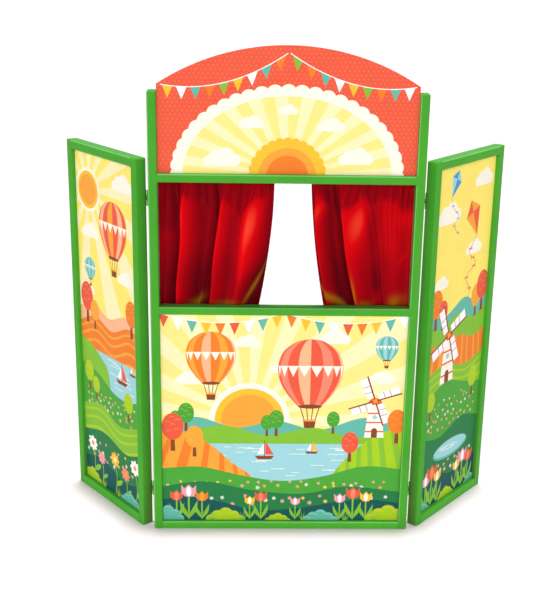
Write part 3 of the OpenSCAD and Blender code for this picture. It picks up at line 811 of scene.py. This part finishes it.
def draw_header():
    half = POST_INNER - HEADER_PLAY
    radius = (half ** 2 + HEADER_RISE ** 2) / (2 * HEADER_RISE)
    swing = math.asin(half / radius)
    arch = arc(0, HEADER_SIDE + HEADER_RISE - radius, radius, math.pi / 2 - swing, math.pi / 2 + swing, 61)
    art = Print([(-half, 0), (half, 0), *arch], "coral")
    # The half-round picture: half width with and without its rim, height of its middle, and flattening
    wide, within, low, flat = 196, 188, -4, 0.765
    pitch, dot, dot_rows, dot_columns, first_dot = 8.4, 1.5, 32, 56, (-234, 3)
    for row in range(dot_rows):
        for column in range(dot_columns):
            x = first_dot[0] + (column + 0.5 * (row % 2)) * pitch
            y = first_dot[1] + 0.866 * row * pitch
            if math.hypot(x, y / flat) > wide:
                art.add(ring(x, y, dot), "blush")
    for x, y in arc(0, low, wide, 0, math.pi, 27, flat):
        art.add(ring(x, y, 15), "cream")
    art.add(arc(0, low, wide, 0, math.pi, 60, flat), "cream")
    art.add(arc(0, low, within, 0, math.pi, 60, flat), "sky")
    rays = 12
    for k in range(rays):
        start = math.pi * k / rays
        art.add([(0, low), *arc(0, low, within, start, start + math.pi / rays / 2, 5, flat)], "glow")
    for x, y in arc(0, low, 62, 0, math.pi, 15):
        art.add(ring(x, y, 9), "sun")
    for r, ink in ((64, "sun"), (52, "amber"), (38, "orange")):
        art.add(ring(0, low, r), ink)
    art.each(cloud, (-118, 22, 19), (-66, 88, 13), (122, 26, 18), (76, 84, 14), (0, 112, 10))
    inks = ("sun", "white", "sea", "orange", "leaf")
    bunting(art, (-226, 158), (-2, 214), sag=24, size=22, inks=inks)
    bunting(art, (2, 214), (226, 158), sag=24, size=22, inks=inks[::-1])
    return art


def on_centre(low):
    """Places a print on a board of the centre frame, from height low up."""
    return lambda s, t, off: Vector((s, BOARD_FRONT - off, low + t)) * MM


def on_wing(wing):
    """Places a print on a wing's board."""
    joint = JOINTS[wing + "_fold"]
    hinge_x, hinge_y, _ = (value / MM for value in joint["pos_m"])
    side = math.copysign(1, hinge_x)
    turn = math.radians(FOLDED_FLAT - joint["range_deg"][1])

    def place(s, t, off):
        x = WING_FROM_AXIS[0] + WING_W / 2 + side * s
        y = WING_FROM_AXIS[1] + WING_BOARD_FRONT - off
        return Vector((hinge_x + side * (x * math.cos(turn) - y * math.sin(turn)),
                       hinge_y + x * math.sin(turn) + y * math.cos(turn), WING_RAIL + t)) * MM
    return place


def make_prints():
    paper = printed_paper()
    for name, art, place, body, slot in (
            ("front_print", draw_front(), on_centre(BOTTOM_RAIL_TOP), "centre_frame", "board_print"),
            ("header_picture", draw_header(), on_centre(LINTEL_TOP), "centre_frame", "header_print"),
            ("left_wing_print", draw_left_wing(), on_wing("left_wing"), "left_wing", "board_print"),
            ("right_wing_print", draw_right_wing(), on_wing("right_wing"), "right_wing", "board_print")):
        sheet = art.paste(name, place, paper)
        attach(sheet, body)


# Curtains

# The cloth leaves small gaps at the post and the sill. By the post it is drawn forward, so no light shows
# there. Its leading edge bows back to the post on the way down. Shares are of its width or its drop.
POST_GAP, HEM_GAP = 0.15, 0.12
CURTAIN_OUT = POST_INNER - POST_GAP
POST_TUCK, TUCK_SHARE = 1.6, 0.05
EDGE_SWING, EDGE_BOW = 28.0, 0.7
CLOTH_T = 0.4
# Points across the cloth, and rows of points in the tab, round the pocket and down the drop
CURTAIN_COLS, TAB_ROWS, POCKET_ROWS, DROP_ROWS = 240, 3, 14, 100
# The tab hangs in front of the rod's axis, from its lowest row up. The pocket goes round it, in degrees from
# the front over the top.
TAB_FRONT, TAB_LOW, TAB_STEP = 1.1, 7.0, 1.4
POCKET_R, POCKET_ARC = 2.75, (-65, 245)
# The drop starts below the rod's axis and hangs plumb behind it, after a neck that comes from the front
DROP_START, HANG_BEHIND, NECK_FORWARD, NECK_SHARE = 3.4, 2.9, 2.0, 0.06
# The hem rests on the sill, at this distance from the middle of the sill's rounded back edge
SILL_ROUND_Y, SILL_ROUND_Z, HEM_R = SILL_BACK - EDGE_R, SILL_TOP - EDGE_R, EDGE_R + HEM_GAP

# A main fold's ridge stands towards the audience and leans to its left. Folds start shallow at the rod and
# are soon full, and they ease out at both sides, with part of the lean left at the leading edge.
FOLD_DEPTH, FOLD_LEAN, FOLD_START, FULL_SHARE = 4.2, 11.5, 0.3, 0.3
SIDE_SHARE, LEAN_AT_EDGE = 0.08, 0.25
# How far the folds wobble across the cloth, and how fast down and across it
WOBBLE, WOBBLE_DOWN, WOBBLE_ACROSS = 0.008, 9, 6
# Uneven waves across the cloth: half turns to a gather, then how far and how fast they sway
PLEAT_WAVE, RUCHE_WAVE, CREASE_WAVE = (1.0, 1.3, 7.1), (5.2, 1.7, 11.3), (0.8, 1.5 * math.pi, 8.3)
# Pleats are deep in the gathers, which fade just above the smooth cloth, and shallower on a ridge
FADE_ABOVE, FADE_SHARE = 0.06, 0.09
PLEAT_RISE, GATHER_DEPTH, PLEAT_DEPTH, PLEAT_SHARE, RIDGE_LOSS = 1.7, 1.1, 0.1, 0.75, 0.25
# The ruche's depth on the tab, on the pocket and on the drop, which it leaves soon
RUCHE_TAB, RUCHE_POCKET, RUCHE_DROP, RUCHE_SHARE = 0.3, 0.22, 0.4, 0.2
# Creases: their depth, where they start to fade and over what share, their slant and how narrow they are
CREASE_DEPTH, CREASE_FADE, CREASE_SLANT, CREASE_POWER = 0.25, (0.2, 0.6), 0.8 * math.pi, 9
# The share of the drop over which all these fine forms set in
FINE_SHARE = 0.05

# The dye at each level of painted light, from painted shade at 0 to a pale painted highlight at 1.5, and the
# sill's colour painted into the satin as its reflection
PAINTED_LIGHT_LEVELS = (0, 0.5, 1, 1.5)
DYES_BY_PAINTED_LIGHT = [linear(code) for code in ("#58000e", "#9c000f", "#dc030f", "#fb4e34")]
PAINTED_SILL_REFLECTION = linear("#a87a0c")
# Painted light levels of the pocket, painted dark as in shade, and of its ruche; and of the drop: halfway up
# a fold, how much lighter ridges and darker valleys are painted, what the fine forms add, and the darkest
# painted shade
POCKET_TONE, RUCHE_TONE = 0.25, 0.05
MIDDLE_TONE, FOLD_TONE, FINE_TONE, DARKEST_TONE = 0.5, 0.42, 0.09, 0.02
# How much painted shade darkens the dye in the gathers at the top, for the lintel's shadow, towards the hem
# and under the rod, and how strong the painted highlights are
GATHER_SHADE, HEM_SHADE, HEM_FROM, HEM_SHARE = 0.48, 0.24, 0.45, 0.4
ROD_SHADE, ROD_SHARE, PAINTED_HIGHLIGHT_STRENGTH = 0.4, 0.03, 0.55

# Each curtain's form, by places across it from the post (0) to the leading edge (1). Folds are ridges (1) and
# valleys (-1) that drift on the way down. Smooth_from is how far down the gathers, and the painted shade on
# them, give way to smooth cloth. Painted_light_spots are soft spots of painted highlight, or of painted shade
# where the strength is below 0, and sill_reflection_spots are of the sill's colour painted in as a
# reflection: place across and down, half width and height, lean and strength.
LEFT_FORM = {
    "side": -1, "gathers": 15, "drift": 0.04,
    "folds": [(0, 0.2), (0.035, -0.3), (0.06, -0.15), (0.125, -1), (0.25, 1), (0.36, -0.75), (0.4, -0.5),
              (0.455, -1), (0.575, 0.85), (0.68, 0.2), (0.85, 1), (1, -0.7)],
    "smooth_from": [(0, 0.42), (0.15, 0.4), (0.19, 0.13), (0.34, 0.17), (0.5, 0.34), (0.53, 0.15),
                    (0.62, 0.19), (0.74, 0.3), (0.9, 0.15), (1, 0.1)],
    "painted_light_spots": [(0.235, 0.32, 0.04, 0.22, -0.03, 0.25), (0.56, 0.4, 0.022, 0.3, -0.05, 0.4),
              (0.68, 0.5, 0.07, 0.35, -0.05, -0.35), (0.865, 0.36, 0.045, 0.17, -0.18, 0.8),
              (0.83, 0.68, 0.04, 0.14, -0.12, 0.3), (0.94, 0.86, 0.09, 0.2, -0.3, -0.85),
              (0.22, 0.9, 0.025, 0.14, 0, 0.4)],
    "sill_reflection_spots": [(0.35, 0.97, 0.035, 0.05, -0.6, 0.6), (0.72, 1.0, 0.12, 0.03, 0, 0.45),
             (0.93, 0.84, 0.01, 0.17, -0.3, 0.55)]}
RIGHT_FORM = {
    "side": 1, "gathers": 13, "drift": 0.15,
    "folds": [(0, 0.3), (0.12, 0.55), (0.3, 0.3), (0.41, -0.2), (0.45, 0.25), (0.62, 1), (0.76, -1),
              (0.8, -0.55), (0.85, -0.9), (0.93, 0.75), (1, -0.2)],
    "smooth_from": [(0, 0.22), (0.1, 0.22), (0.14, 0.17), (0.3, 0.15), (0.42, 0.2), (0.48, 0.13),
                    (0.62, 0.23), (0.72, 0.3), (0.88, 0.2), (0.92, 0.11), (1, 0.22)],
    "painted_light_spots": [(0.515, 0.32, 0.065, 0.17, 0.12, 1.1), (0.91, 0.22, 0.03, 0.12, 0.25, 0.8),
              (0.06, 0.31, 0.06, 0.07, 0, 0.35), (0.07, 0.62, 0.02, 0.04, 0.6, 0.4),
              (0.36, 0.95, 0.04, 0.07, 0, 0.7), (0.36, 0.8, 0.07, 0.12, 0, -0.25),
              (0.37, 0.3, 0.06, 0.15, 0, -0.35), (0.66, 0.68, 0.05, 0.15, -0.2, -0.4)],
    "sill_reflection_spots": [(0.87, 0.94, 0.04, 0.1, -1.2, 0.7), (0.56, 0.92, 0.016, 0.12, -0.13, 0.55),
             (0.47, 1.0, 0.06, 0.03, 0, 0.5), (0.13, 0.97, 0.08, 0.05, 0.5, 0.5)]}


def ease(t):
    """0 up to 0, 1 from 1 on, and smooth between."""
    t = np.clip(t, 0, 1)
    return t * t * (3 - 2 * t)


def fade(t, start, share):
    """1 up to start, 0 from start + share on, and smooth between."""
    return 1 - ease((t - start) / share)


def through(knots, u):
    """A curve that eases from knot to knot, each a (place, value), at the places u."""
    x, y = np.array(knots, float).T
    i = np.clip(np.searchsorted(x, u) - 1, 0, len(x) - 2)
    return y[i] + (y[i + 1] - y[i]) * ease((u - x[i]) / (x[i + 1] - x[i]))


def waver(wave, gathers, u, phase):
    """The angles of a row of uneven waves at the places u."""
    half_turns, sway, pace = wave
    return math.pi * half_turns * gathers * u + sway * np.sin(pace * u + phase)


def spots(places, u, t):
    return sum(strength * np.exp(-((u - u0 - lean * (t - t0)) / wide) ** 2 - ((t - t0) / tall) ** 2)
               for u0, t0, wide, tall, lean, strength in places)


def curtain_rows(edge_top, side, gathers, drift, folds, smooth_from, painted_light_spots, sill_reflection_spots):
    """Rows of points from the tab to the hem, and the painted light and the painted sill reflection at each
    point.
    """
    (_, rod_front, rod_low), (_, rod_back, rod_high) = cad_box("curtain_rod")
    rod_y, rod_z = (rod_front + rod_back) / 2, (rod_low + rod_high) / 2
    u = np.linspace(0, 1, CURTAIN_COLS + 1)
    at_post, at_edge = ease(u / SIDE_SHARE), ease((1 - u) / SIDE_SHARE)
    pleat = PLEAT_RISE * np.abs(np.cos(waver(PLEAT_WAVE, gathers, u, side))) - 1
    ruche = np.cos(waver(RUCHE_WAVE, gathers, u, side))
    smooth = through(smooth_from, u)

    def across(edge):
        return side * (CURTAIN_OUT - (CURTAIN_OUT - edge) * u)

    rows = []
    for j in range(TAB_ROWS):
        y = rod_y - TAB_FRONT + RUCHE_TAB * ruche
        rows.append((across(edge_top), y, rod_z - TAB_LOW + TAB_STEP * j))
    for a in np.radians(np.linspace(*POCKET_ARC, POCKET_ROWS)):
        r = POCKET_R + RUCHE_POCKET * ruche
        rows.append((across(edge_top), rod_y - r * math.cos(a), rod_z + r * math.sin(a)))
    # The pocket is painted dark, as in shade
    tones = [POCKET_TONE + RUCHE_TONE * ruche] * len(rows)
    reflection_shares = [0 * u] * len(rows)

    drop_z = rod_z - DROP_START
    for t in np.linspace(0, 1, DROP_ROWS + 1):
        edge = edge_top + EDGE_SWING * ((1 - EDGE_BOW) * t + EDGE_BOW * t * t)
        grow = FOLD_START + (1 - FOLD_START) * ease(t / FULL_SHARE)
        wobble = WOBBLE * np.sin(WOBBLE_DOWN * t + WOBBLE_ACROSS * u + side)
        ridge = through(folds, u + drift * (t - 0.5) * 4 * u * (1 - u) + wobble)
        gathered = fade(t, smooth - FADE_ABOVE, FADE_SHARE)
        crease = np.abs(np.cos(waver(CREASE_WAVE, gathers, u, -side) + CREASE_SLANT * t)) ** CREASE_POWER
        fine = (GATHER_DEPTH * gathered + PLEAT_DEPTH) * fade(t, 0, PLEAT_SHARE) * pleat
        fine *= 1 - RIDGE_LOSS * (1 + ridge)
        fine += RUCHE_DROP * fade(t, 0, RUCHE_SHARE) * ruche + CREASE_DEPTH * fade(t, *CREASE_FADE) * crease

        y = rod_y + HANG_BEHIND - NECK_FORWARD * fade(t, 0, NECK_SHARE) - FOLD_DEPTH * grow * ridge
        y -= fine * at_post * ease(t / FINE_SHARE) + POST_TUCK * fade(u, 0, TUCK_SHARE)
        lean = FOLD_LEAN * grow * at_post * (LEAN_AT_EDGE + (1 - LEAN_AT_EDGE) * at_edge)
        x = np.clip(across(edge) - lean * ridge, -CURTAIN_OUT, CURTAIN_OUT)
        hem = SILL_ROUND_Z + np.sqrt(HEM_R ** 2 - np.clip(y - SILL_ROUND_Y, 0, HEM_R) ** 2)
        rows.append((x, y, drop_z + (hem - drop_z) * t))

        # Painted light: ridges lighter, valleys darker, painted shade in the top gathers, towards the hem and
        # under the rod, then spots of painted highlight and painted shade
        lit = (MIDDLE_TONE + FOLD_TONE * (1 + grow) / 2 * ridge) * (1 - GATHER_SHADE * gathered)
        lit += FINE_TONE * fine - HEM_SHADE * ease((t - HEM_FROM) / HEM_SHARE)
        lit = np.clip(lit, DARKEST_TONE, 1) * (1 - ROD_SHADE * fade(t, 0, ROD_SHARE))
        tones.append(lit + PAINTED_HIGHLIGHT_STRENGTH * spots(painted_light_spots, u, t) * (1 - gathered))
        # The sill's colour painted in as its reflection in the satin
        reflection_shares.append(np.clip(spots(sill_reflection_spots, u, t), 0, 1))
    return rows, tones, reflection_shares


def make_curtain(name, material, edge_top, form):
    """One gathered curtain on the rod, with its dye and painted light, and the map of its threads."""
    rows, tones, reflection_shares = curtain_rows(edge_top, **form)
    points = np.array([np.stack(np.broadcast_arrays(*row), axis=1) for row in rows]).reshape(-1, 3)
    n = CURTAIN_COLS + 1
    faces = [(j * n + i, j * n + i + 1, (j + 1) * n + i + 1, (j + 1) * n + i)
             for j in range(len(rows) - 1) for i in range(CURTAIN_COLS)]
    curtain = add_mesh(name, (points * MM).tolist(), faces, material)
    curtain.data.shade_smooth()

    tone, reflection_share = np.concatenate(tones), np.concatenate(reflection_shares)[:, None]
    colour = np.stack([np.interp(tone, PAINTED_LIGHT_LEVELS, channel) for channel in zip(*DYES_BY_PAINTED_LIGHT)], axis=1)
    # Blends in the painted reflection of the sill
    colour += (np.array(PAINTED_SILL_REFLECTION) - colour) * reflection_share
    dye_and_painted_light = curtain.data.color_attributes.new("dye_and_painted_light", "FLOAT_COLOR", "POINT")
    dye_and_painted_light.data.foreach_set("color", colour.ravel())

    # The threads run down the cloth: that is the U direction of its map
    corner = np.zeros(len(curtain.data.loops), np.int32)
    curtain.data.loops.foreach_get("vertex_index", corner)
    down, along = np.divmod(corner, n)
    places = np.stack([down / len(rows), along / n], axis=1)
    curtain.data.uv_layers.new(name="cloth").data.foreach_set("uv", places.ravel())

    solid = curtain.modifiers.new("cloth", "SOLIDIFY")
    solid.thickness = CLOTH_T * MM
    solid.offset = 0.0
    return curtain


def make_curtains():
    cloth = satin()
    for name, cloth_width, form in (("left", 0.226, LEFT_FORM), ("right", 0.195, RIGHT_FORM)):
        top = min(abs(corner[0]) for corner in cad_box(name + "_curtain"))
        curtain = make_curtain(name + "_satin_curtain", cloth, top, form)
        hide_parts(name + "_curtain")
        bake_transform(curtain)


make_camera()
make_studio()
dress_cad()
make_prints()
make_curtains()
